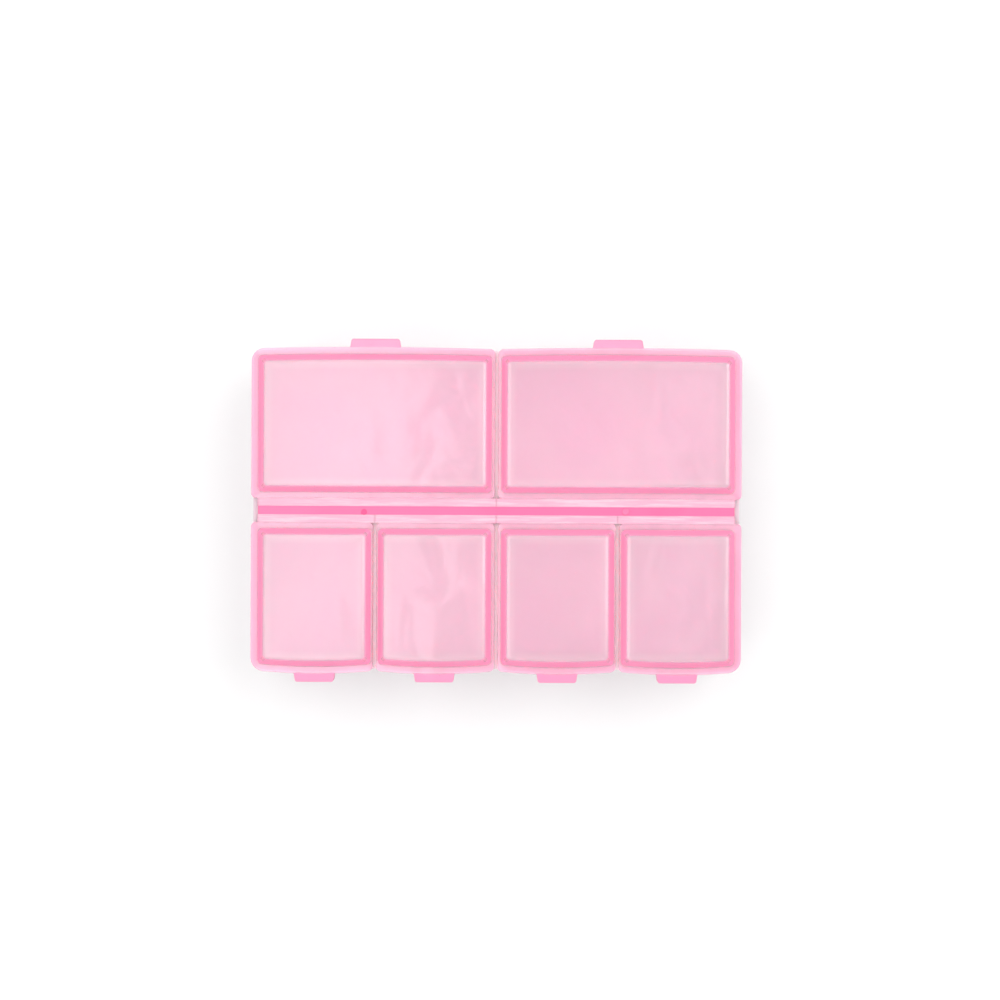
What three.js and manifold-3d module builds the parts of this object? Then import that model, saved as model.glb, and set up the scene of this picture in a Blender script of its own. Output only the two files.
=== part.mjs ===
// Pocket pill organiser: one open tray with six compartments, two long ones at the rear and four
// short ones at the front, closed by six snap lids. The lids hang on thin living hinges from one
// spine, whose rib is pressed into a channel down the middle of the tray.
//
// Millimetres. +X to the right, +Y to the rear, +Z up. The origin is under the middle of the box,
// on the surface that it rests on. Each row of lids is built in a frame of its own, in which +Y
// points away from the spine, so the front row is the same frame turned half round.
import * as THREE from "three";
import { ConvexGeometry } from "three/addons/geometries/ConvexGeometry.js";
import { mergeVertices } from "three/addons/utils/BufferGeometryUtils.js";
import Module from "manifold-3d";

const wasm = await Module();
wasm.setup();

// ---- Driving dimensions -------------------------------------------------------------------
const LENGTH = 94; // over the lids, along X
const LID_EDGE = 31.33; // from the middle of the box to a lid's outer edge, at the top of its bow
const TAB_REACH = 1.57; // how far a thumb tab stands out of its lid
const CLEARANCE = 0.3; // between a lid's plug and the tray's walls, and under the lids

// Heights above the table
const FLOOR = 1.2; // thickness of the tray's floor
const TRAY_TOP = 18.6;
const FLANGE_UNDER = TRAY_TOP + CLEARANCE;
const FLANGE_TOP = FLANGE_UNDER + 1;
const PLATEAU_TOP = FLANGE_TOP + 1.1;
const HINGE_HEIGHT = FLANGE_TOP - 0.25; // the middle of the living-hinge film
const PLUG_BOTTOM = 16.6;
const CATCH_BOTTOM = 15.25; // the catch tongue hangs lower than the rest of the plug

// Across the box, from its middle line outwards
const SPINE_HALF = 0.88;
const LID_START = 2.3; // a lid's edge at the hinge
const HINGE_AXIS = (SPINE_HALF + LID_START) / 2; // the middle of the film
const CHANNEL_HALF = 2.2;
const PLUG_START = 3.5; // the plug's face nearest the hinge
const OUTER_RIM = 1.4; // flange outside the plug, at the thumb tab's side

// Along the box
const SIDE_RIM = 1.35; // flange outside the plug, at the box's two ends
const CENTRE_DIVIDER = 1.8; // from plug to plug across the middle of the box
const DIVIDER = 1.25; // from plug to plug between two short lids
const LID_GAP = 0.65; // between neighbouring lids

// Walls
const WALL = 0.8; // the tray's outer wall, at its top
const END_WALL = 1; // at the two ends of the channel
const DRAFT = 0.3; // how much a compartment narrows on each side down to its floor
const PLUG_WALL = 1.1;
const PANEL = 0.85; // a lid's raised panel
const SLOPE = 1.4; // width of the bevel from the flange up to the panel
const FILM = 0.35; // thickness of a living hinge

// Roundings
const BOX_CORNER = 2.4; // a lid's corner at a corner of the box
const LID_CORNER = 0.9; // a lid's other corners
const PLUG_CORNER = 0.8;
const FLOOR_FILLET = 2;
const FOOT_EDGE = 1.5; // rounding between the tray's walls and its underside

// Spine and its channel
const SPINE_LENGTH = 90.9;
const RIB_BOTTOM = 9;
const NUB_SPACING = 50; // between the two moulding gates on the spine
const NUB_RADIUS = 0.5;
const NUB_RISE = 0.12;
const GRIP_WIDTH = 1.2; // ribs in the channel that hold the spine upright
const GRIP_TOP = 14;
const GRIPS = [-35, -11.7, 11.7, 35];

// Thumb tab and catch
const TAB_CORNER = 0.4;
const TAB_TAPER = 0.25; // how much a tab narrows on each side towards its tip
const TAB_ROOT = 1; // how far a tab reaches back into its lid's flange
const LIP_BOTTOM = 17.4; // foot of the lip that hangs from the tab
const LIP_GAP = 0.1; // between the lid's edge and the lip
const LIP_DRAFT = 0.15;
const CATCH_RELIEF = 0.28; // how far the tongue's foot is drawn in, so that it swings clear
const BEAD = { height: 16.4, above: 0.45, below: 0.9, seat: 0.13, rise: 0.15 };
const POCKET = { half: 0.8, depth: 0.2 }; // recess in the wall that the bead snaps into

const LID_HALF = LENGTH / 2;
const PLUG_END = LID_HALF - SIDE_RIM;
const TRAY_HALF = PLUG_END + CLEARANCE + WALL;
const PLUG_EDGE = LID_EDGE - OUTER_RIM;
const TRAY_EDGE = PLUG_EDGE + CLEARANCE + WALL;

const ROWS = [
  { turn: 0, names: ["rear_left", "rear_right"], tab: 9.7, bow: 800 },
  { turn: Math.PI, names: ["front_4", "front_3", "front_2", "front_1"], tab: 7.8, bow: 115 },
];

const LID_PLASTIC = { color: 0xfbb4d0, roughness: 0.35, metalness: 0, transparent: true, opacity: 0.75 };
const SPINE_PLASTIC = { color: 0xfe83b7, roughness: 0.35, metalness: 0, transparent: true, opacity: 0.9 };
const TRAY_PLASTIC = { color: 0xf1cbd9, roughness: 0.4, metalness: 0, transparent: true, opacity: 0.6 };

// ---- Where the lids sit along a row -------------------------------------------------------
// Each lid's plug runs from `low` to `high`; `from` and `to` are the lid's own edges.
function layOut(row) {
  const perSide = row.names.length / 2;
  const room = PLUG_END - CENTRE_DIVIDER / 2 - (perSide - 1) * DIVIDER;
  const width = room / perSide;
  const right = [];
  for (let i = 0; i < perSide; i++) {
    const low = CENTRE_DIVIDER / 2 + i * (width + DIVIDER);
    const high = low + width;
    const inner = i === 0 ? CENTRE_DIVIDER : DIVIDER;
    const outer = i === perSide - 1;
    const from = low - (inner - LID_GAP) / 2;
    const to = outer ? LID_HALF : high + (DIVIDER - LID_GAP) / 2;
    right.push({ low, high, from, to, atLow: false, atHigh: outer });
  }
  const left = right.map((c) => {
    return { low: -c.high, high: -c.low, from: -c.to, to: -c.from, atLow: c.atHigh, atHigh: false };
  });
  const lids = [...left.reverse(), ...right];
  return lids.map((c, i) => ({ ...c, name: row.names[i], row, middle: (c.low + c.high) / 2 }));
}

// ---- Shapes -------------------------------------------------------------------------------
const CORNER_STEPS = 4;
const BOW_STEPS = 6;

// How far a bowed edge falls back at x from its highest point.
function bowDrop(lid, x) {
  return (x - lid.middle) ** 2 / (2 * lid.row.bow);
}

// A rectangle with rounded corners, whose far edge bows with its lid. `radii` are the corners'
// roundings in order: near low, near high, far high, far low.
function outline(lid, x0, x1, y0, y1, radii) {
  const corners = [
    [x0, y0, 1, 1, Math.PI],
    [x1, y0, -1, 1, 1.5 * Math.PI],
    [x1, y1, -1, -1, 0],
    [x0, y1, 1, -1, 0.5 * Math.PI],
  ];
  const points = [];
  corners.forEach(([x, y, inX, inY, start], index) => {
    const r = radii[index];
    for (let step = 0; step <= CORNER_STEPS; step++) {
      const angle = start + (step / CORNER_STEPS) * (Math.PI / 2);
      points.push([x + r * (inX + Math.cos(angle)), y + r * (inY + Math.sin(angle))]);
    }
    if (index === 2) {
      const edge = x1 - r - (x0 + radii[3]);
      for (let step = 1; step < BOW_STEPS; step++) {
        points.push([x1 - r - (step / BOW_STEPS) * edge, y1]);
      }
    }
  });
  return points.map(([x, y]) => {
    const share = (y - y0) / (y1 - y0);
    return new THREE.Vector2(x, y - share * bowDrop(lid, x));
  });
}

// The convex solid whose sections at the given heights are the given outlines.
function loft(...levels) {
  const points = levels.flatMap(([section, z]) => section.map((p) => new THREE.Vector3(p.x, p.y, z)));
  return new ConvexGeometry(points);
}

function block(x0, x1, y0, y1, z0, z1) {
  const box = new THREE.BoxGeometry(x1 - x0, y1 - y0, z1 - z0);
  return box.translate((x0 + x1) / 2, (y0 + y1) / 2, (z0 + z1) / 2);
}

function solid(geometry) {
  geometry.deleteAttribute("normal");
  geometry.deleteAttribute("uv");
  const merged = mergeVertices(geometry, 1e-5);
  const vertProperties = new Float32Array(merged.attributes.position.array);
  const triVerts = new Uint32Array(merged.index.array);
  return new wasm.Manifold(new wasm.Mesh({ numProp: 3, vertProperties, triVerts }));
}

function piece(name, body, finish) {
  const cut = body.getMesh();
  const geometry = new THREE.BufferGeometry();
  geometry.setAttribute("position", new THREE.BufferAttribute(new Float32Array(cut.vertProperties), 3));
  geometry.setIndex(new THREE.BufferAttribute(new Uint32Array(cut.triVerts), 1));
  const mesh = new THREE.Mesh(geometry, new THREE.MeshStandardMaterial(finish));
  mesh.name = name;
  return mesh;
}

// ---- Lid ----------------------------------------------------------------------------------
// The plug's outline, drawn in by `inset` all round.
function plugOutline(lid, inset) {
  const r = Math.max(PLUG_CORNER - inset, 0.25);
  const far = PLUG_EDGE - inset;
  return outline(lid, lid.low + inset, lid.high - inset, PLUG_START + inset, far, [r, r, r, r]);
}

function lidFlange(lid) {
  const far = [lid.atHigh ? BOX_CORNER : LID_CORNER, lid.atLow ? BOX_CORNER : LID_CORNER];
  const edge = outline(lid, lid.from, lid.to, LID_START, LID_EDGE, [LID_CORNER, LID_CORNER, ...far]);
  return solid(loft([edge, FLANGE_UNDER], [edge, FLANGE_TOP]));
}

// The plug and the raised panel are one form, hollow from below.
function lidPlug(lid) {
  const foot = plugOutline(lid, 0);
  const top = plugOutline(lid, SLOPE);
  const hollow = plugOutline(lid, PLUG_WALL);
  const form = solid(loft([foot, PLUG_BOTTOM], [foot, FLANGE_TOP], [top, PLATEAU_TOP]));
  const recess = solid(loft([hollow, PLUG_BOTTOM - 1], [hollow, PLATEAU_TOP - PANEL]));
  return { form, recess };
}

// A tongue that hangs below the plug behind the thumb tab, with a bead that snaps past the wall.
function lidCatch(lid) {
  const half = lid.row.tab / 2;
  const x0 = lid.middle - half;
  const x1 = lid.middle + half;
  const face = PLUG_EDGE - bowDrop(lid, x0);
  const back = face - PLUG_WALL;
  const span = (y0, y1) => [[x0, y0], [x1, y0], [x1, y1], [x0, y1]].map((p) => new THREE.Vector2(...p));
  const upper = span(back, face);
  const lower = span(back, face - CATCH_RELIEF);
  const tongue = solid(loft([upper, FLANGE_UNDER], [upper, PLUG_BOTTOM + 1], [lower, CATCH_BOTTOM]));
  const seat = face - BEAD.seat;
  const bead = solid(loft(
    [span(back, face - CATCH_RELIEF), BEAD.height - BEAD.below],
    [span(back, seat + BEAD.rise), BEAD.height],
    [span(back, seat), BEAD.height + BEAD.above],
  ));
  return tongue.add(bead);
}

function thumbTab(lid) {
  const half = lid.row.tab / 2;
  const tip = LID_EDGE + TAB_REACH;
  const lipStart = LID_EDGE + LIP_GAP;
  const straight = { middle: lid.middle, row: { bow: Infinity } };
  const plan = (y0, y1, taper) => {
    const radii = [TAB_CORNER / 4, TAB_CORNER / 4, TAB_CORNER, TAB_CORNER];
    return outline(straight, lid.middle - half + taper, lid.middle + half - taper, y0, y1, radii);
  };
  const root = plan(LID_EDGE - TAB_ROOT, LID_EDGE, 0);
  const whole = [...root, ...plan(lipStart, tip, TAB_TAPER)];
  const plate = loft([whole, FLANGE_UNDER], [whole, FLANGE_TOP]);
  const lipFoot = plan(lipStart, tip - LIP_DRAFT, TAB_TAPER);
  const lip = loft([plan(lipStart, tip, TAB_TAPER), FLANGE_TOP], [lipFoot, LIP_BOTTOM]);
  return solid(plate).add(solid(lip));
}

function makeLid(lid) {
  const { form, recess } = lidPlug(lid);
  const body = lidFlange(lid).add(form).subtract(recess).add(lidCatch(lid)).add(thumbTab(lid));
  const onHinge = body.translate([-lid.middle, -HINGE_AXIS, -HINGE_HEIGHT]);
  const mesh = piece(`lid_${lid.name}`, onHinge, LID_PLASTIC);
  mesh.position.set(lid.middle, HINGE_AXIS, HINGE_HEIGHT);
  return mesh;
}

// ---- Living hinge -------------------------------------------------------------------------
function makeFilm(lid) {
  const end = SPINE_LENGTH / 2;
  const x0 = Math.max(lid.from + LID_CORNER, -end);
  const x1 = Math.min(lid.to - LID_CORNER, end);
  const width = LID_START - SPINE_HALF - 2 * CLEARANCE;
  const strip = new THREE.BoxGeometry(x1 - x0, width, FILM);
  const mesh = piece(`hinge_film_${lid.name}`, solid(strip), LID_PLASTIC);
  mesh.position.set((x0 + x1) / 2, HINGE_AXIS, HINGE_HEIGHT);
  return mesh;
}

// ---- Spine --------------------------------------------------------------------------------
function makeSpine() {
  const end = SPINE_LENGTH / 2;
  let body = solid(block(-end, end, -SPINE_HALF, SPINE_HALF, RIB_BOTTOM, FLANGE_TOP));
  for (const side of [-1, 1]) {
    const nub = new THREE.CylinderGeometry(NUB_RADIUS, NUB_RADIUS, 1, 16).rotateX(Math.PI / 2);
    nub.translate(side * NUB_SPACING / 2, 0, FLANGE_TOP + NUB_RISE - 0.5);
    body = body.add(solid(nub));
  }
  return piece("hinge_spine", body, SPINE_PLASTIC);
}

// ---- Tray ---------------------------------------------------------------------------------
// Half of the tray's outer edge, seen in a row's own frame: from its right end to its left end.
function trayEdge(lids) {
  const points = [];
  const corner = BOX_CORNER - CLEARANCE;
  const reach = TRAY_HALF - corner;
  const edgeAt = (lid, x) => TRAY_EDGE - bowDrop(lid, x);
  for (const lid of [...lids].reverse()) {
    const right = lid.atHigh ? reach : lid.to + LID_GAP / 2;
    const left = lid.atLow ? -reach : lid.from - LID_GAP / 2;
    if (lid.atHigh) {
      const y = edgeAt(lid, reach) - corner;
      for (let step = 0; step < CORNER_STEPS; step++) {
        const angle = (step / CORNER_STEPS) * (Math.PI / 2);
        points.push([reach + corner * Math.cos(angle), y + corner * Math.sin(angle)]);
      }
    }
    for (let step = 0; step <= BOW_STEPS; step++) {
      const x = right + (step / BOW_STEPS) * (left - right);
      if (step < BOW_STEPS || lid.atLow) {
        points.push([x, edgeAt(lid, x)]);
      }
    }
    if (lid.atLow) {
      const y = edgeAt(lid, -reach) - corner;
      for (let step = 1; step <= CORNER_STEPS; step++) {
        const angle = Math.PI / 2 + (step / CORNER_STEPS) * (Math.PI / 2);
        points.push([-reach + corner * Math.cos(angle), y + corner * Math.sin(angle)]);
      }
    }
  }
  return points;
}

function trayBlock(rows) {
  const turned = (points) => points.map(([x, y]) => [-x, -y]);
  const [rear, front] = rows;
  const edge = [...trayEdge(rear), ...turned(trayEdge(front))];
  const shape = new THREE.Shape(edge.map(([x, y]) => new THREE.Vector2(x, y)));
  const geometry = new THREE.ExtrudeGeometry(shape, {
    depth: TRAY_TOP,
    bevelThickness: FOOT_EDGE,
    bevelSize: FOOT_EDGE,
    bevelOffset: -FOOT_EDGE,
    bevelSegments: 3,
  });
  geometry.translate(0, 0, FOOT_EDGE);
  const above = solid(block(-LENGTH, LENGTH, -LENGTH, LENGTH, TRAY_TOP, 2 * TRAY_TOP));
  return solid(geometry).subtract(above);
}

// The hollow of one compartment: drafted walls and a rounded edge all round its floor.
function compartment(lid) {
  const FILLET_STEPS = 3;
  const section = (inset) => {
    const r = Math.max(PLUG_CORNER + CLEARANCE - inset, 0.3);
    const low = lid.low - CLEARANCE + inset;
    const high = lid.high + CLEARANCE - inset;
    const near = PLUG_START - CLEARANCE + inset;
    return outline(lid, low, high, near, PLUG_EDGE + CLEARANCE - inset, [r, r, r, r]);
  };
  const levels = [[section(0), TRAY_TOP + 1], [section(0), TRAY_TOP]];
  for (let step = 0; step <= FILLET_STEPS; step++) {
    const angle = (step / FILLET_STEPS) * (Math.PI / 2);
    const inset = DRAFT + FLOOR_FILLET * (1 - Math.cos(angle));
    levels.push([section(inset), FLOOR + FLOOR_FILLET * (1 - Math.sin(angle))]);
  }
  return loft(...levels).rotateZ(lid.row.turn);
}

// A shallow pocket in the outer wall, which a lid's bead snaps into.
function catchPocket(lid) {
  const half = lid.row.tab / 2 + CLEARANCE;
  const wall = PLUG_EDGE + CLEARANCE - bowDrop(lid, lid.middle - half);
  const z0 = BEAD.height - POCKET.half;
  const z1 = BEAD.height + POCKET.half;
  const pocket = block(lid.middle - half, lid.middle + half, wall - 1, wall + POCKET.depth, z0, z1);
  return pocket.rotateZ(lid.row.turn);
}

function makeTray(rows) {
  let body = trayBlock(rows);
  for (const lid of rows.flat()) {
    body = body.subtract(solid(compartment(lid))).subtract(solid(catchPocket(lid)));
  }
  const end = TRAY_HALF - END_WALL;
  body = body.subtract(solid(block(-end, end, -CHANNEL_HALF, CHANNEL_HALF, FLOOR, TRAY_TOP + 1)));
  const grip = SPINE_HALF + CLEARANCE;
  for (const x of GRIPS) {
    for (const side of [-1, 1]) {
      const [y0, y1] = side < 0 ? [-CHANNEL_HALF - 0.5, -grip] : [grip, CHANNEL_HALF + 0.5];
      const rib = block(x - GRIP_WIDTH / 2, x + GRIP_WIDTH / 2, y0, y1, FLOOR - 0.5, GRIP_TOP);
      body = body.add(solid(rib));
    }
  }
  return piece("tray", body, TRAY_PLASTIC);
}

// ---- Assembly -----------------------------------------------------------------------------
const organiser = new THREE.Group();
const rows = ROWS.map(layOut);
organiser.add(makeTray(rows), makeSpine());
rows.forEach((lids, index) => {
  const rowFrame = new THREE.Group();
  rowFrame.rotation.z = ROWS[index].turn;
  rowFrame.add(...lids.map(makeLid), ...lids.map(makeFilm));
  organiser.add(rowFrame);
});

export default organiser;
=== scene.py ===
"""Pocket pill organiser in translucent pink polypropylene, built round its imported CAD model.

Every piece is modelled in millimetres and brought to metres at the end. A row of lids is modelled in
a frame of its own, in which +Y points away from the hinge spine, and the front row is then turned
half round, as it is on the real box.
"""

import math

import bmesh
import bpy
from mathutils import Matrix, Vector, noise


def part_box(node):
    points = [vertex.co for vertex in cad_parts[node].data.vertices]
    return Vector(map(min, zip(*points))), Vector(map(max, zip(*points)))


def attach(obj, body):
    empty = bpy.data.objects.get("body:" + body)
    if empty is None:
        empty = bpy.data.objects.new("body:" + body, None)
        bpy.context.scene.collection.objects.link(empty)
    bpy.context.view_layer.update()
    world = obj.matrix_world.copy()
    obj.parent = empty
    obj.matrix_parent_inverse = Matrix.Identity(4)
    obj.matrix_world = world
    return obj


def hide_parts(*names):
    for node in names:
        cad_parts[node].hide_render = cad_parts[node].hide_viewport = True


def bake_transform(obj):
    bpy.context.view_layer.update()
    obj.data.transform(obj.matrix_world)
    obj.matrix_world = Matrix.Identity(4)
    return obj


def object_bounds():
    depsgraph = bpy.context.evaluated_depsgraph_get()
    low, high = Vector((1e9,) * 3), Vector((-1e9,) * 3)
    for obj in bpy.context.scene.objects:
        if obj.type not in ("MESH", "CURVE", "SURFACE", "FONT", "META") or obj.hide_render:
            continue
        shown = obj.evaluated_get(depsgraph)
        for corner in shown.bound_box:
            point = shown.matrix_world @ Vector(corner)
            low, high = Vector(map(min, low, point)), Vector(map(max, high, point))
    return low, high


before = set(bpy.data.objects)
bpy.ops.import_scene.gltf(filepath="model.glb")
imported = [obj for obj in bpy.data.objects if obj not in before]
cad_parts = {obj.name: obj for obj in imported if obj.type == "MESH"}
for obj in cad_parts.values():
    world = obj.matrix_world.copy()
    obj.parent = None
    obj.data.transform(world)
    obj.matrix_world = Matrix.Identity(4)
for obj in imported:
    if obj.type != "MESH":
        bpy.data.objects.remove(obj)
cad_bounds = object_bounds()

MM = 0.001


# ---- Sizes, in millimetres ------------------------------------------------------------------
def box_mm(node):
    low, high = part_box(node)
    return [c / MM for c in low], [c / MM for c in high]


TRAY_LOW, TRAY_HIGH = box_mm("tray")
SPINE_LOW, SPINE_HIGH = box_mm("hinge_spine")
LENGTH_HALF = cad_bounds[1][0] / MM

TRAY_TOP = TRAY_HIGH[2]
RIM_TOP = TRAY_TOP + 0.22
CLEARANCE = 0.3
SNUG = 0.1
FLANGE_UNDER = TRAY_TOP + CLEARANCE
FLANGE_TOP = FLANGE_UNDER + 1
HINGE_HEIGHT = FLANGE_TOP - 0.25
PANEL = 0.85
PLUG_BOTTOM = 16.6
PLUG_WALL = 1.1
PLUG_CORNER = 0.8
SLOPE = 1.4
FLOOR = 1.2
END_WALL = 1.0
DRAFT = 0.3
FLOOR_FILLET = 2.4
FOOT_EDGE = 1.5
CHANNEL_HALF = 2.2
BOX_CORNER = 2.4
LID_CORNER = 0.9
SIDE_RIM = 1.35
CENTRE_RIM = 0.575
NEIGHBOUR_RIM = 0.3
HINGE_RIM = 1.2
OUTER_RIM = 1.4
TAB_REACH = 1.57
TAB_CORNER = 0.4
LIP_BOTTOM = 17.4
TAB_TAPER = 0.25
CATCH_PROFILE = ((16.35, 0.12), (16.05, 0.0), (15.25, -0.35))  # height, and how far the face then moves out
BOW = {"rear": 800.0, "front": 115.0}
TRAY_EDGE = 31.03
TRAY_BAYS = (-46.55, -23.275, 0, 23.275, 46.55)
SPINE_REACH = 0.2
SPINE_RADIUS = 0.15
FILM_ROOT = 0.08
FILM_END = 45.8
FILM_OVERHANG = 0.36
FILM_THIN = 0.28
FILM_THICK = 0.46
FILM_RIPPLE = 0.06
GRIPS = (-35, -11.7, 11.7, 35)
GRIP_WIDTH = 1.2
GRIP_TOP = 14
GATE_RISE = 0.1
LID_EDGE_RADIUS = 0.27
PANEL_RADIUS = 0.45
TRAY_EDGE_RADIUS = 0.18
STEP = 0.01
CROWN = 0.001  # the panel rises by about this much from its edge to its middle
HALO_CORNER = 0.3
RING_BREAK = 0.45  # where the bevelled ring's slope changes, as a share of its width
ROUND_STEPS = 5  # flats in the tray's foot edge and in its floor fillets
TAB_HALF = {"rear": 4.85, "front": 3.9}

# ---- Colour depth of a face: 1 is deepest, 0 plain, -1 palest, a painted highlight; some deep marks are painted shade ---
TAB_DEPTH = {"rear": 0.5, "front": 0.8}
RING_DEPTH = 0.88
RING_STEP = 0.14  # how much less deep the ring's upper half is
ROUNDING_DEPTH = 0.4
RIM_DEPTH = 0.18
# painted shade on the outer side rims, darker than the lighting makes them
SIDE_RIM_PAINTED_SHADE = 0.36
# painted highlight on the upper part of the panel's rounded edge, and painted light on flange edges that face
# a neighbouring lid
EDGE_PAINTED_LIGHT = -0.95
HALO = ((0.75, -0.8), (1.1, -0.6), (1.45, -0.35))  # millimetres inside the panel's edge, and the depth there: pale bands of painted highlight
# painted shade on the tray's inner walls, a greyed band seen through the lids
WALL_PAINTED_SHADE = 1.0
# painted shade on the tray's end tops left bare between the rows
END_TOP_PAINTED_SHADE = 0.62
# painted light on the tray's top faces, paling the gaps between lids
TOP_PAINTED_LIGHT = -1.0
# painted highlight on the tray's floor fillets
FILLET_PAINTED_HIGHLIGHT = -0.8


class Lid:
    """One lid's places in its row's own frame, read from its CAD node."""

    def __init__(self, name):
        self.name = name
        self.node = "lid_" + name
        self.film = "hinge_film_" + name
        self.body = f"lid_{name}_body"
        self.row = name.split("_")[0]
        self.turned = self.row == "front"
        low, high = box_mm(self.node)
        ends = sorted((-low[0], -high[0])) if self.turned else (low[0], high[0])
        self.x0, self.x1 = ends
        across = sorted((abs(low[1]), abs(high[1])))
        self.near = across[0]
        self.tip = across[1]
        self.edge = self.tip - TAB_REACH
        self.foot = low[2]
        self.top = high[2]
        self.outer_low = self.x0 < -LENGTH_HALF + 0.5
        self.outer_high = self.x1 > LENGTH_HALF - 0.5
        self.plug0 = self.x0 + self.rim(self.x0, self.outer_low)
        self.plug1 = self.x1 - self.rim(self.x1, self.outer_high)
        self.middle = (self.plug0 + self.plug1) / 2
        self.tab = TAB_HALF[self.row]

    @staticmethod
    def rim(x, outer):
        if outer:
            return SIDE_RIM
        return CENTRE_RIM if abs(x) < 1 else NEIGHBOUR_RIM

    def bow(self, x, y):
        """Where a point at x, y goes when the lid's far edge is bowed."""
        drop = (x - self.middle) ** 2 / (2 * BOW[self.row])
        return y - drop * (y - self.near) / (self.edge - self.near)

    def inside(self, place):
        """How far a point of the panel lies inside its edge."""
        share = (place.x - self.middle) ** 2 / (2 * BOW[self.row]) / (self.edge - self.near)
        y = (place.y - share * self.near) / (1 - share)
        from_side = min(place.x - self.plug0, self.plug1 - place.x)
        from_row = min(y - self.near - HINGE_RIM, self.edge - OUTER_RIM - y)
        return min(from_side, from_row) - SLOPE

    def turn(self):
        return Matrix.Rotation(math.pi if self.turned else 0, 4, "Z")


LIDS = [Lid(n[4:]) for n in sorted(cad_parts) if n.startswith("lid_")]


# ---- Mesh helpers ---------------------------------------------------------------------------
def plate(bm, x0, x1, y0, y1, z, radii, bow=None, cuts=()):
    """A flat face with rounded corners (near low, near high, far high, far low), cut at each x in
    cuts, whose points move in y as bow says. Returns its faces and the edges round it."""
    size = Matrix.Diagonal((x1 - x0, y1 - y0, 1, 1))
    place = Matrix.Translation(((x0 + x1) / 2, (y0 + y1) / 2, z))
    made = bmesh.ops.create_grid(bm, x_segments=1, y_segments=1, size=0.5, matrix=place @ size)
    corners = ((x0, y0), (x1, y0), (x1, y1), (x0, y1))
    for radius, (x, y) in zip(radii, corners):
        nearest = min(made["verts"], key=lambda v: (v.co.x - x) ** 2 + (v.co.y - y) ** 2)
        made["verts"].remove(nearest)
        bmesh.ops.bevel(bm, geom=[nearest], offset=radius, offset_type="OFFSET", segments=5,
                        profile=0.5, affect="VERTICES", material=-1)
    face = next(f for f in bm.faces if abs(f.calc_center_median().z - z) < 1e-4 and not f.tag)
    faces = [face]
    for x in cuts:
        geometry = [*faces, *{e for f in faces for e in f.edges}, *{v for f in faces for v in f.verts}]
        cut = bmesh.ops.bisect_plane(bm, geom=geometry, plane_co=(x, 0, 0), plane_no=(1, 0, 0), dist=1e-5)
        faces = [g for g in cut["geom"] if isinstance(g, bmesh.types.BMFace)]
    for f in faces:
        f.tag = True
    if bow:
        for v in {v for f in faces for v in f.verts}:
            v.co.y = bow(v.co.x, v.co.y)
    return faces, border(faces)


def border(faces):
    inside = set(faces)
    return [e for f in faces for e in f.edges if sum(g in inside for g in e.link_faces) == 1]


def loft(bm, levels):
    """A closed form through flat plates. levels are keyword sets for plate, from one end to the other."""
    made = [plate(bm, **level) for level in levels]
    for faces, edges in made[1:-1]:
        rim = set(edges)
        inner = list({e for f in faces for e in f.edges if e not in rim})
        bmesh.ops.delete(bm, geom=faces, context="FACES_ONLY")
        bmesh.ops.delete(bm, geom=inner, context="EDGES")
    for (_, first), (_, second) in zip(made, made[1:]):
        bmesh.ops.bridge_loops(bm, edges=first + second)
    return made


def sharp(bm, degrees, keep=lambda e: True):
    limit = math.radians(degrees)
    return [e for e in bm.edges if e.is_manifold and e.calc_face_angle() > limit and keep(e)]


def soften(bm, edges, width, segments=3):
    bmesh.ops.bevel(bm, geom=edges, offset=width, offset_type="OFFSET", segments=segments, profile=0.5,
                    affect="EDGES", clamp_overlap=True, material=-1)


def settle(bm):
    bmesh.ops.remove_doubles(bm, verts=bm.verts, dist=1e-4)
    bmesh.ops.recalc_face_normals(bm, faces=bm.faces)


def as_object(name, bm):
    mesh = bpy.data.meshes.new(name)
    bm.to_mesh(mesh)
    bm.free()
    made = bpy.data.objects.new(name, mesh)
    bpy.context.scene.collection.objects.link(made)
    return made


def combined(base, operands, operation):
    """The bmesh of base cut by, or joined with, the other bmeshes. All of them are used up."""
    body = as_object("body", base)
    others = [as_object("operand", bm) for bm in operands]
    for other in others:
        step = body.modifiers.new(operation, "BOOLEAN")
        step.operation = operation
        step.solver = "EXACT"
        step.object = other
    result = bmesh.new()
    bpy.context.view_layer.update()
    result.from_object(body, bpy.context.evaluated_depsgraph_get())
    for used in [body, *others]:
        mesh = used.data
        bpy.data.objects.remove(used)
        bpy.data.meshes.remove(mesh)
    return result


def piece(name, bm, finish, turn=Matrix.Identity(4)):
    """Turns a bmesh in millimetres into a finished object in metres, standing at the origin."""
    bmesh.ops.transform(bm, matrix=Matrix.Scale(MM, 4) @ turn, verts=bm.verts)
    made = as_object(name, bm)
    made.data.polygons.foreach_set("use_smooth", [True] * len(made.data.polygons))
    made.data.materials.append(finish)
    even = made.modifiers.new("even shading", "WEIGHTED_NORMAL")
    even.weight = 90
    even.keep_sharp = True
    return made


# ---- Materials ------------------------------------------------------------------------------
class Value:
    """A number socket that Python arithmetic turns into Math nodes."""

    def __init__(self, tree, socket):
        self.tree = tree
        self.socket = socket

    def math(self, operation, a, b=None):
        sockets = {0: a} if b is None else {0: a, 1: b}
        return self.tree.add("ShaderNodeMath", {"operation": operation}, sockets)["Value"]

    def __add__(self, other):
        return self.math("ADD", self, other)

    def __radd__(self, other):
        return self.math("ADD", other, self)

    def __sub__(self, other):
        return self.math("SUBTRACT", self, other)

    def __rsub__(self, other):
        return self.math("SUBTRACT", other, self)

    def __mul__(self, other):
        return self.math("MULTIPLY", self, other)

    def __rmul__(self, other):
        return self.math("MULTIPLY", other, self)


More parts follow.
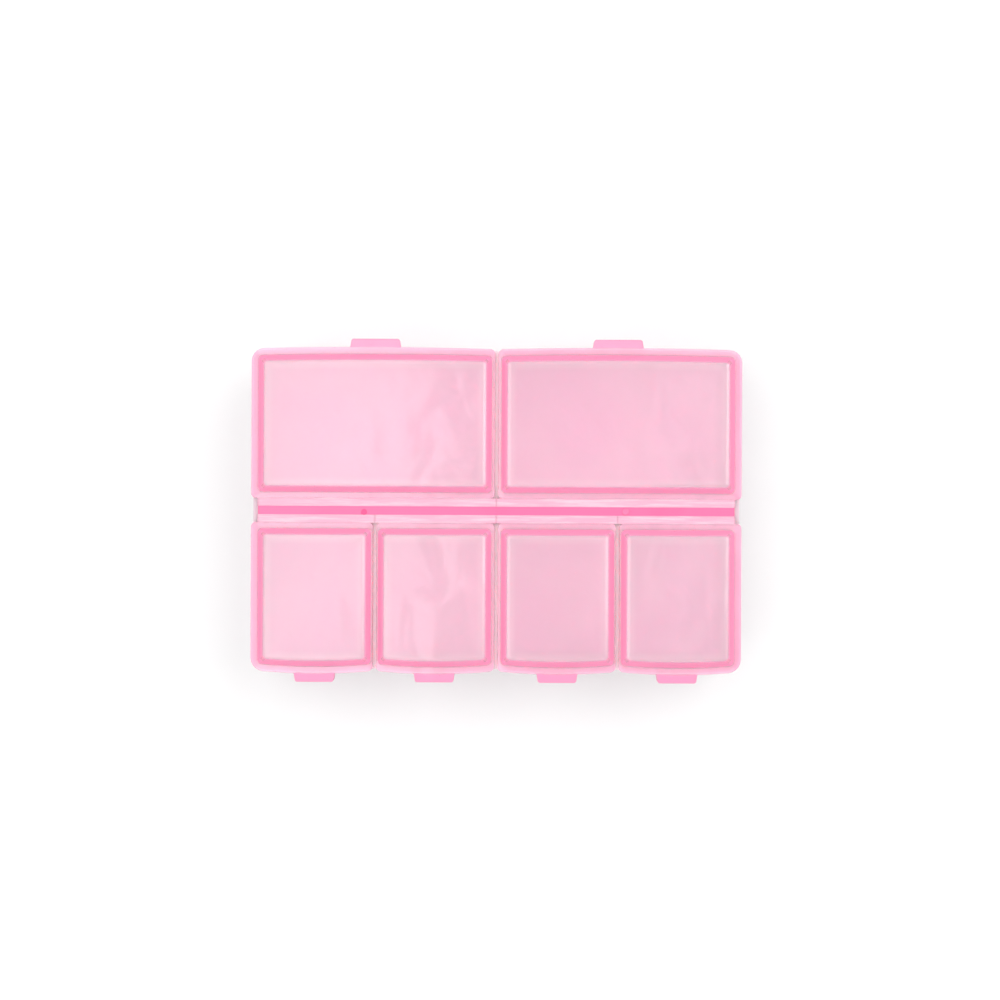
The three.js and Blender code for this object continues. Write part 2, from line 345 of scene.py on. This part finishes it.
class Tree:
    """One material's nodes."""

    def __init__(self, name):
        self.material = bpy.data.materials.new(name)
        self.material.use_nodes = True
        self.nodes = self.material.node_tree.nodes
        self.links = self.material.node_tree.links
        self.nodes.clear()

    def add(self, kind, settings=None, sockets=None):
        """Adds a node, sets its settings, then its sockets, and returns its outputs by name."""
        node = self.nodes.new(kind)
        for key, value in (settings or {}).items():
            setattr(node, key, value)
        for key, value in (sockets or {}).items():
            target = node.inputs[key]
            if isinstance(value, Value):
                self.links.new(value.socket, target)
            elif isinstance(value, bpy.types.NodeSocket):
                self.links.new(value, target)
            else:
                target.default_value = value
        named = {}
        for output in node.outputs:
            if output.enabled:
                named[output.name] = Value(self, output) if output.type == "VALUE" else output
        return named

    def place(self, scale):
        """The point in the object's own space, in millimetres, stretched by scale."""
        where = self.add("ShaderNodeTexCoord")["Object"]
        sockets = {"Vector": where, "Scale": tuple(s / MM for s in scale)}
        return self.add("ShaderNodeMapping", {"vector_type": "POINT"}, sockets)["Vector"]

    def noise(self, scale, detail=2.0, roughness=0.5, distortion=0.0):
        sockets = {"Vector": self.place(scale), "Scale": 1.0, "Detail": detail, "Roughness": roughness,
                   "Distortion": distortion}
        return self.add("ShaderNodeTexNoise", {"noise_dimensions": "3D"}, sockets)["Fac"]

    def between(self, value, low, high):
        """0 below low and 1 above high, with a soft step between."""
        sockets = {"Value": value, "From Min": low, "From Max": high, "To Min": 0.0, "To Max": 1.0}
        return self.add("ShaderNodeMapRange", {"interpolation_type": "SMOOTHSTEP"}, sockets)["Result"]

    def mix(self, share, first, second):
        settings = {"data_type": "RGBA", "blend_type": "MIX"}
        return self.add("ShaderNodeMix", settings, {0: share, 6: first, 7: second})["Result"]

    def bump(self, height, distance, strength=1.0):
        sockets = {"Height": height, "Distance": distance * MM, "Strength": strength}
        return self.add("ShaderNodeBump", {}, sockets)["Normal"]

    def finish(self, shader, absorbing=None):
        sockets = {"Surface": shader}
        if absorbing:
            colour, density = absorbing
            volume = self.add("ShaderNodeVolumeAbsorption", {}, {"Color": colour, "Density": density})
            sockets["Volume"] = volume["Volume"]
        self.add("ShaderNodeOutputMaterial", {}, sockets)
        return self.material


PINK = (1.0, 0.0, 0.5, 1.0)  # what the pigment lets through, in each colour
DEEP_PINK = (1.0, 0.44, 0.71, 1.0)
# the pale colour that faces marked below zero go to: a painted highlight, light painted onto edges, fillets
# and gaps
PAINTED_HIGHLIGHT_PALE = (1.0, 0.84, 0.91, 1.0)
MILKY = (0.87, 0.26, 0.455, 1.0)
IOR = 1.49
COAT_ROUGHNESS = 0.28


def plastic(name, pale, cloudy, density, transmission, wave, coat, roughness, deep=DEEP_PINK, milk=0.0):
    """Translucent polypropylene: a satin body that blurs what is behind it, a smoother skin on top
    that is not quite flat, and a pigment that absorbs along the way through. Where a face is marked
    deep, the colour goes to deep and up to milk of the light is scattered back; where it is marked
    below zero, the colour goes pale, a painted highlight."""
    tree = Tree(name)
    cloud = tree.between(tree.noise((0.05, 0.05, 0.05), detail=3, distortion=1.2), 0.35, 0.7)
    fine = tree.noise((1.5, 1.5, 1.5), detail=3)
    depth = tree.add("ShaderNodeAttribute", {"attribute_name": "deep"})["Fac"]
    # below zero the colour goes pale: painted highlight
    colour = tree.mix(tree.between(depth, 0, -1), tree.mix(cloud, pale, cloudy), PAINTED_HIGHLIGHT_PALE)
    colour = tree.mix(depth, colour, deep)
    satin = tree.between(depth, 0.1, 0.8)
    swell = tree.noise((0.115, 0.09, 0.1), detail=2.5, roughness=0.35, distortion=0.6)
    grain = tree.noise((6, 6, 6), detail=2)
    normal = tree.bump(swell + grain * 0.004, wave)
    shader = tree.add("ShaderNodeBsdfPrincipled", {}, {
        "Base Color": colour,
        "Roughness": roughness + satin * 0.25 + (fine - 0.5) * 0.06,
        "IOR": IOR,
        "Transmission Weight": transmission,
        "Coat Weight": coat * (1 - satin * 0.85),
        "Coat Roughness": COAT_ROUGHNESS,
        "Coat IOR": IOR,
        "Normal": normal,
    })["BSDF"]
    if milk:
        scattered = tree.add("ShaderNodeBsdfPrincipled", {}, {
            "Base Color": MILKY,
            "Roughness": 0.35 + (fine - 0.5) * 0.06,
            "IOR": IOR,
            "Normal": normal,
        })["BSDF"]
        share = tree.between(depth, 0.1, 0.9) * milk
        shader = tree.add("ShaderNodeMixShader", {}, {0: share, 1: shader, 2: scattered})["Shader"]
    return tree.finish(shader, (PINK, density))


LID_PLASTIC = plastic("pink_polypropylene", pale=(0.99, 0.775, 0.88, 1), cloudy=(0.98, 0.74, 0.865, 1),
                      density=165, transmission=0.7, wave=0.3, coat=0.9, roughness=0.1, milk=0.6)
SPINE_PLASTIC = plastic("pink_spine", pale=(0.98, 0.11, 0.31, 1), cloudy=(0.98, 0.095, 0.29, 1),
                        density=200, transmission=0.15, wave=0.2, coat=0.9, roughness=0.4,
                        deep=(0.85, 0.08, 0.25, 1))
# the tray's deep colour is a greyed pink: painted shade on its inner walls and on the end tops between the
# rows
TRAY_PLASTIC = plastic("pale_pink_polypropylene", pale=(0.97, 0.87, 0.92, 1), cloudy=(0.96, 0.85, 0.9, 1),
                       density=30, transmission=0.25, wave=0.3, coat=0.5, roughness=0.35,
                       deep=(0.68, 0.5, 0.58, 1))


def film_plastic():
    """The folded strip: stress-whitened in streaks along the fold."""
    tree = Tree("stressed_polypropylene")
    streaks = tree.between(tree.noise((0.12, 2.2, 2.2), detail=4, roughness=0.65), 0.42, 0.68)
    colour = tree.mix(streaks, (0.82, 0.41, 0.55, 1), (0.88, 0.57, 0.67, 1))
    normal = tree.bump(tree.noise((0.25, 2.5, 2.5), detail=3), 0.12)
    shader = tree.add("ShaderNodeBsdfPrincipled", {}, {
        "Base Color": colour,
        "Roughness": 0.3 + streaks * 0.2,
        "IOR": IOR,
        "Transmission Weight": 0.2,
        "Normal": normal,
    })["BSDF"]
    return tree.finish(shader, (PINK, 120))


FILM_PLASTIC = film_plastic()


# ---- Lid ------------------------------------------------------------------------------------
def extend(bm, faces, move):
    """Pulls faces out of the form and moves their points as move says. Returns the new faces."""
    pulled = bmesh.ops.extrude_face_region(bm, geom=faces)["geom"]
    for v in pulled:
        if isinstance(v, bmesh.types.BMVert):
            v.co = move(v.co)
    bmesh.ops.delete(bm, geom=faces, context="FACES_ONLY")
    bmesh.ops.delete(bm, geom=[e for e in bm.edges if not e.link_faces], context="EDGES")
    return [f for f in pulled if isinstance(f, bmesh.types.BMFace)]


def faces_where(bm, test):
    bm.normal_update()
    return [f for f in bm.faces if test(f.calc_center_median(), f.normal)]


def add_thumb_tab(bm, lid):
    """A tab out of the flange's edge, with a lip that hangs from it."""
    beside = lambda c: abs(c.x - lid.middle) < lid.tab
    edge = faces_where(bm, lambda c, n: beside(c) and n.y > 0.9 and FLANGE_UNDER < c.z < FLANGE_TOP)
    narrow = 1 - TAB_TAPER / lid.tab
    extend(bm, edge, lambda v: Vector((lid.middle + (v.x - lid.middle) * narrow, lid.tip, v.z)))
    under = faces_where(bm, lambda c, n: beside(c) and n.z < -0.9 and c.y > lid.edge)
    extend(bm, under, lambda v: Vector((v.x, v.y, LIP_BOTTOM)))
    side = lid.tab * narrow - 0.01
    at_corner = lambda v: v.co.y > lid.tip - 0.01 and abs(v.co.x - lid.middle) > side
    corners = [e for e in bm.edges if all(at_corner(v) for v in e.verts)]
    soften(bm, corners, TAB_CORNER, 4)


def add_catch(bm, lid):
    """A tongue below the plug, behind the thumb tab, with a bead along its outer face."""
    face = lid.edge - OUTER_RIM
    foot = faces_where(bm, lambda c, n: abs(c.x - lid.middle) < lid.tab and n.z < -0.9
                       and abs(c.z - PLUG_BOTTOM) < 0.1 and c.y > face - PLUG_WALL - 0.2)
    for height, reach in CATCH_PROFILE:
        shift = lambda v: reach if v.y > face - PLUG_WALL / 2 else 0
        foot = extend(bm, foot, lambda v: Vector((v.x, v.y + shift(v), height)))


def raised_depth(lid, c, up, by_catch):
    """The depth on the raised part: from its flat panel, with pale bands of painted highlight just inside its
    edge, over the rounding, whose upper part carries a painted highlight, to the bevelled ring.
    """
    # flat panel: pale bands of painted highlight inside its edge; upper rounding: painted highlight
    if up > 0.999:
        return next((highlight for reach, highlight in HALO if lid.inside(c) < reach), 0.0)
    if up > 0.94:
        return EDGE_PAINTED_LIGHT
    if up > 0.88:
        return ROUNDING_DEPTH
    ring = 1.0 if by_catch else RING_DEPTH
    return ring if c.z < (lid.top + FLANGE_TOP) / 2 else ring - RING_STEP


def mark_depth(bm, lid):
    """Stores on each face of a lid how deep its colour is: painted shade on the outer side rims, and below
    zero a pale painted highlight on the panel's edge and painted light on flange edges in the gaps between
    lids.
    """
    bm.normal_update()
    deep = bm.faces.layers.float.new("deep")
    for f in bm.faces:
        c = f.calc_center_median()
        by_tab = abs(c.x - lid.middle) < lid.tab
        if c.y > lid.edge and by_tab:
            f[deep] = TAB_DEPTH[lid.row]
        elif c.z < FLANGE_UNDER - 0.1:
            f[deep] = 1.0 if by_tab and c.y > 0.6 * lid.edge else RING_DEPTH
        elif c.z > FLANGE_TOP + 0.05 and f.normal.z > 0.05:
            f[deep] = raised_depth(lid, c, f.normal.z, by_tab and c.y > 0.6 * lid.edge)
        elif c.z < FLANGE_TOP + 0.05:
            # outer side rims get painted shade; flange edges facing a neighbouring lid get painted light,
            # paling the gaps between lids
            side = lid.outer_low and c.x < lid.plug0 or lid.outer_high and c.x > lid.plug1
            facing = abs(f.normal.x) > 0.35 and not side
            f[deep] = SIDE_RIM_PAINTED_SHADE if side else EDGE_PAINTED_LIGHT if facing else RIM_DEPTH


def make_lid(lid):
    bm = bmesh.new()
    room = lid.plug1 - lid.plug0
    cuts = [lid.plug0 + room * share for share in (0.12, 0.24, 0.76, 0.88)]
    cuts += [lid.middle + lid.tab * share for share in (-1, -0.5, 0, 0.5, 1)]
    common = {"bow": lid.bow, "cuts": sorted(cuts)}

    def flange(z):
        radii = (LID_CORNER, LID_CORNER, BOX_CORNER if lid.outer_high else LID_CORNER,
                 BOX_CORNER if lid.outer_low else LID_CORNER)
        return {"x0": lid.x0, "x1": lid.x1, "y0": lid.near, "y1": lid.edge, "z": z, "radii": radii, **common}

    def plug(z, inset):
        r = PLUG_CORNER - 0.1 * inset if inset <= SLOPE else HALO_CORNER
        return {"x0": lid.plug0 + inset, "x1": lid.plug1 - inset, "y0": lid.near + HINGE_RIM + inset,
                "y1": lid.edge - OUTER_RIM - inset, "z": z, "radii": (r, r, r, r), **common}

    loft(bm, [
        *(plug(lid.top - CROWN / reach, SLOPE + reach) for reach, _ in reversed(HALO)),
        plug(lid.top - 2 * CROWN, SLOPE),
        plug(lid.top - RING_BREAK * (lid.top - FLANGE_TOP), SLOPE * RING_BREAK),
        plug(FLANGE_TOP + STEP, 0),
        flange(FLANGE_TOP),
        flange(FLANGE_UNDER),
        plug(FLANGE_UNDER - STEP, 0),
        plug(PLUG_BOTTOM, 0),
        plug(PLUG_BOTTOM - STEP, PLUG_WALL),
        plug(lid.top - PANEL, PLUG_WALL),
    ])
    settle(bm)
    add_thumb_tab(bm, lid)
    add_catch(bm, lid)
    settle(bm)
    panel_edge = lambda e: all(abs(v.co.z - lid.top) < 0.01 for v in e.verts)
    soften(bm, sharp(bm, 25, panel_edge), PANEL_RADIUS, 4)
    settle(bm)
    soften(bm, sharp(bm, 25, lambda e: all(v.co.z < lid.top - 0.4 for v in e.verts)), LID_EDGE_RADIUS)
    settle(bm)
    mark_depth(bm, lid)
    return piece("lid_shell_" + lid.name, bm, LID_PLASTIC, lid.turn())


# ---- Living hinge ---------------------------------------------------------------------------
def make_film(lid):
    """The thin strip between spine and lid: thinnest along its middle, and slightly rippled."""
    x0 = max(lid.x0 - FILM_OVERHANG, -FILM_END)
    x1 = min(lid.x1 + FILM_OVERHANG, FILM_END)
    y0 = SPINE_HIGH[1] - FILM_ROOT
    y1 = lid.near + FILM_ROOT
    size = Matrix.Diagonal((x1 - x0, y1 - y0, 1, 1))
    place = Matrix.Translation(((x0 + x1) / 2, (y0 + y1) / 2, HINGE_HEIGHT))
    bm = bmesh.new()
    bmesh.ops.create_grid(bm, x_segments=round((x1 - x0) / 0.5), y_segments=12, size=0.5, matrix=place @ size)
    bmesh.ops.solidify(bm, geom=bm.faces, thickness=FILM_THIN)
    middle = sum(v.co.z for v in bm.verts) / len(bm.verts)
    for v in bm.verts:
        across = abs(2 * (v.co.y - y0) / (y1 - y0) - 1)
        side = 1 if v.co.z > middle else -1
        ripple = noise.noise((v.co.x * 0.35, v.co.y * 0.8, lid.middle)) * FILM_RIPPLE * (1 - across)
        v.co.z = HINGE_HEIGHT + side * (FILM_THIN + (FILM_THICK - FILM_THIN) * across ** 3) / 2 + ripple
    settle(bm)
    return piece("living_hinge_" + lid.name, bm, FILM_PLASTIC, lid.turn())


# ---- Spine ----------------------------------------------------------------------------------
def make_spine():
    bm = bmesh.new()
    common = {"x0": SPINE_LOW[0] - SPINE_REACH, "x1": SPINE_HIGH[0] + SPINE_REACH,
              "y0": SPINE_LOW[1], "y1": SPINE_HIGH[1], "radii": (SPINE_RADIUS,) * 4}
    loft(bm, [{"z": SPINE_LOW[2], **common}, {"z": FLANGE_TOP, **common}])
    settle(bm)
    soften(bm, sharp(bm, 60), SPINE_RADIUS)
    settle(bm)
    return piece("spine_rib", bm, SPINE_PLASTIC)


def make_gate_mark(name, x, y, radius, rim, centre):
    """The stub left where the plastic ran into the mould: a low disc with a pinched middle."""
    bm = bmesh.new()
    place = Matrix.Translation((x, y, FLANGE_TOP - 0.02))
    bmesh.ops.create_cone(bm, cap_ends=True, segments=24, radius1=radius, radius2=radius, depth=GATE_RISE * 2,
                          matrix=place)
    raised = faces_where(bm, lambda c, n: n.z > 0.9)
    bmesh.ops.inset_region(bm, faces=raised, thickness=radius * 0.4, depth=-GATE_RISE * 0.6)
    settle(bm)
    deep = bm.faces.layers.float.new("deep")
    # pale parts, marked below zero, are painted highlights
    for f in bm.faces:
        f[deep] = centre if f in raised else rim
    return piece(name, bm, SPINE_PLASTIC)


# ---- Tray -----------------------------------------------------------------------------------
def tray_bow(x, y):
    """The tray's long walls bow with the lids above them."""
    rear = y > 0
    row = [lid for lid in LIDS if lid.turned != rear]
    local = x if rear else -x
    lid = min(row, key=lambda c: max(c.x0 - local, local - c.x1))
    drop = (local - lid.middle) ** 2 / (2 * BOW[lid.row])
    return y - math.copysign(drop, y) * abs(y) / TRAY_EDGE


def tray_block():
    bm = bmesh.new()
    corner = BOX_CORNER - CLEARANCE
    pitch = TRAY_BAYS[1] - TRAY_BAYS[0]
    cuts = [bay + pitch * step / 6 for bay in TRAY_BAYS[:-1] for step in range(6)]
    cuts = [x for x in cuts if abs(x) < TRAY_HIGH[0] - corner - 0.1]
    common = {"x0": TRAY_LOW[0], "x1": TRAY_HIGH[0], "y0": -TRAY_EDGE, "y1": TRAY_EDGE,
              "radii": (corner,) * 4, "bow": tray_bow, "cuts": cuts}
    levels = [{"z": RIM_TOP, **common}]
    for step in range(ROUND_STEPS + 1):
        angle = math.pi / 2 * step / ROUND_STEPS
        inset = FOOT_EDGE * (1 - math.cos(angle))
        level = dict(common, z=FOOT_EDGE * (1 - math.sin(angle)), radii=(corner - inset,) * 4)
        level.update(x0=common["x0"] + inset, x1=common["x1"] - inset)
        level.update(y0=common["y0"] + inset, y1=common["y1"] - inset)
        levels.append(level)
    loft(bm, levels)
    settle(bm)
    return bm


def hollow(lid):
    """The inside of one compartment: drafted walls, rounded into the floor."""
    bm = bmesh.new()
    low = CLEARANCE if lid.outer_low else SNUG
    high = CLEARANCE if lid.outer_high else SNUG

    def section(z, inset):
        r = max(PLUG_CORNER + CLEARANCE - inset, 0.3)
        grow = CLEARANCE - inset
        return {"x0": lid.plug0 - low + inset, "x1": lid.plug1 + high - inset,
                "y0": lid.near + HINGE_RIM - grow, "y1": lid.edge - OUTER_RIM + grow,
                "z": z, "radii": (r, r, r, r), "bow": lid.bow,
                "cuts": [lid.plug0 + (lid.plug1 - lid.plug0) * step / 8 for step in range(1, 8)]}

    levels = [section(RIM_TOP + 1, 0), section(RIM_TOP - 0.5, 0)]
    for step in range(ROUND_STEPS + 1):
        angle = math.pi / 2 * step / ROUND_STEPS
        inset = DRAFT + FLOOR_FILLET * (1 - math.cos(angle))
        levels.append(section(FLOOR + FLOOR_FILLET * (1 - math.sin(angle)), inset))
    loft(bm, levels)
    settle(bm)
    bmesh.ops.transform(bm, matrix=lid.turn(), verts=bm.verts)
    return bm


def block(x0, x1, y0, y1, z0, z1):
    bm = bmesh.new()
    place = Matrix.Translation(((x0 + x1) / 2, (y0 + y1) / 2, (z0 + z1) / 2))
    bmesh.ops.create_cube(bm, size=1, matrix=place @ Matrix.Diagonal((x1 - x0, y1 - y0, z1 - z0, 1)))
    return bm


def mark_tray(bm):
    """Cuts the faces where the lid moulding ends above them, and stores each face's colour depth: painted
    shade on the inner walls and on the end tops between the rows, painted light on the top faces and the
    floor fillets.
    """
    for place, facing in (((FILM_END, 0, 0), (1, 0, 0)), ((-FILM_END, 0, 0), (1, 0, 0)),
                          ((0, LIDS[0].near, 0), (0, 1, 0)), ((0, -LIDS[0].near, 0), (0, 1, 0))):
        bmesh.ops.bisect_plane(bm, geom=bm.verts[:] + bm.edges[:] + bm.faces[:], dist=1e-5, plane_co=place,
                               plane_no=facing)
    bm.normal_update()
    deep = bm.faces.layers.float.new("deep")
    for f in bm.faces:
        c = f.calc_center_median()
        # top faces get painted light, paling the gaps between lids; the end tops between the rows get painted
        # shade instead
        if c.z > RIM_TOP - 0.3 and f.normal.z > 0.5:
            f[deep] = END_TOP_PAINTED_SHADE if abs(c.x) > FILM_END and abs(c.y) < LIDS[0].near else TOP_PAINTED_LIGHT
        # inner walls near the ends and sides get painted shade, darker the more they face inwards
        elif c.z > FLOOR + 0.005:
            from_end = -math.copysign(f.normal.x, f.normal.x * c.x) if abs(c.x) > TRAY_BAYS[-1] - 5 else 0
            from_side = -math.copysign(f.normal.y, f.normal.y * c.y) if abs(c.y) > TRAY_EDGE - 5 else 0
            inside = max(abs(c.x) - TRAY_HIGH[0], abs(c.y) - TRAY_EDGE) < -0.9
            # the floor fillets get a pale painted highlight
            fillet = f.normal.z > 0.9 and inside
            f[deep] = FILLET_PAINTED_HIGHLIGHT if fillet else WALL_PAINTED_SHADE * max(from_end, from_side, 0)


def make_tray():
    end = TRAY_HIGH[0] - END_WALL
    channel = block(-end, end, -CHANNEL_HALF, CHANNEL_HALF, FLOOR, RIM_TOP + 1)
    grips = []
    slot = SPINE_HIGH[1] + CLEARANCE
    for x in GRIPS:
        for y0, y1 in ((-CHANNEL_HALF - 0.3, -slot), (slot, CHANNEL_HALF + 0.3)):
            grips.append(block(x - GRIP_WIDTH / 2, x + GRIP_WIDTH / 2, y0, y1, FLOOR - 0.3, GRIP_TOP))
    bm = combined(tray_block(), [hollow(lid) for lid in LIDS] + [channel], "DIFFERENCE")
    bm = combined(bm, grips, "UNION")
    settle(bm)
    at_top = lambda e: all(abs(v.co.z - RIM_TOP) < 0.01 for v in e.verts)
    soften(bm, sharp(bm, 60, at_top), TRAY_EDGE_RADIUS)
    settle(bm)
    mark_tray(bm)
    return piece("tray_shell", bm, TRAY_PLASTIC)


# ---- Assembly -------------------------------------------------------------------------------
for lid in LIDS:
    shell = make_lid(lid)
    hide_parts(lid.node)
    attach(shell, lid.body)
    film = make_film(lid)
    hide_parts(lid.film)
    side = -1 if lid.turned else 1
    height = HINGE_HEIGHT * MM
    side * SPINE_HIGH[1] * MM
    side * lid.near * MM
    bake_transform(film)

spine = make_spine()
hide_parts("hinge_spine")
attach(spine, "tray_body")
# left mark: dark stub with a pale centre, a painted highlight; right mark: a faint pale outline, a painted
# highlight
for gate in (make_gate_mark("gate_mark_left", x=-25.35, y=-0.3, radius=0.55, rim=0.8, centre=-0.9),
             make_gate_mark("gate_mark_right", x=24.8, y=-0.05, radius=0.7, rim=-0.12, centre=0.1)):
    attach(gate, "tray_body")
tray = make_tray()
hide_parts("tray")
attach(tray, "tray_body")


# ---- Stage, in metres -----------------------------------------------------------------------
TABLE_HALF = 3.0
TABLE_GAP = 0.00005
CAMERA_PLACE = (0.0007, 0.0021, 0.32)
CAMERA_ROLL = 0.27
LENS = 56.4
LAMP_HEIGHT = 1.0
LAMPS = (  # name, x and y, size, watts
    ("veil", (-0.45, 0.0), (0.78, 1.4), 5.6),
    ("key", (0.66, 0.4), (0.8, 1.0), 6.0),
    ("strip", (0.155, 0.02), (0.04, 0.3), 0.045),
)
ROOM_LIGHT = 0.97


def make_stage():
    bm = bmesh.new()
    bmesh.ops.create_grid(bm, x_segments=1, y_segments=1, size=TABLE_HALF,
                          matrix=Matrix.Translation((0, 0, -TABLE_GAP)))
    mesh = bpy.data.meshes.new("table")
    bm.to_mesh(mesh)
    bm.free()
    floor = bpy.data.objects.new("table", mesh)
    tree = Tree("white_table")
    shader = tree.add("ShaderNodeBsdfPrincipled", {}, {"Base Color": (0.72, 0.72, 0.72, 1), "Roughness": 0.9,
                                                       "Specular IOR Level": 0.1})["BSDF"]
    mesh.materials.append(tree.finish(shader))
    bpy.context.scene.collection.objects.link(floor)


def make_lamp(name, place, size, power):
    """A soft lamp that shines straight down."""
    lamp = bpy.data.lights.new(name, "AREA")
    lamp.shape = "RECTANGLE"
    lamp.size, lamp.size_y = size
    lamp.energy = power
    holder = bpy.data.objects.new(name, lamp)
    holder.location = (*place, LAMP_HEIGHT)
    holder.rotation_euler = Vector((0, 0, -1)).to_track_quat("-Z", "Y").to_euler()
    bpy.context.scene.collection.objects.link(holder)


def make_camera():
    lens = bpy.data.cameras.new("camera")
    lens.lens = LENS
    lens.sensor_width = 36
    eye = bpy.data.objects.new("camera", lens)
    eye.location = CAMERA_PLACE
    eye.rotation_euler = (0, 0, math.radians(CAMERA_ROLL))
    bpy.context.scene.collection.objects.link(eye)
    bpy.context.scene.camera = eye


make_stage()
make_camera()
for lamp in LAMPS:
    make_lamp(*lamp)
world = bpy.data.worlds.new("room")
world.use_nodes = True
world.node_tree.nodes["Background"].inputs["Color"].default_value = (1, 1, 1, 1)
world.node_tree.nodes["Background"].inputs["Strength"].default_value = ROOM_LIGHT
scene = bpy.context.scene
scene.world = world
scene.cycles.blur_glossy = 0  # light has to pass several walls of plastic undimmed
scene.cycles.max_bounces = 32
scene.cycles.transmission_bounces = 32
scene.cycles.glossy_bounces = 32
scene.cycles.diffuse_bounces = 16
scene.view_settings.view_transform = "Standard"
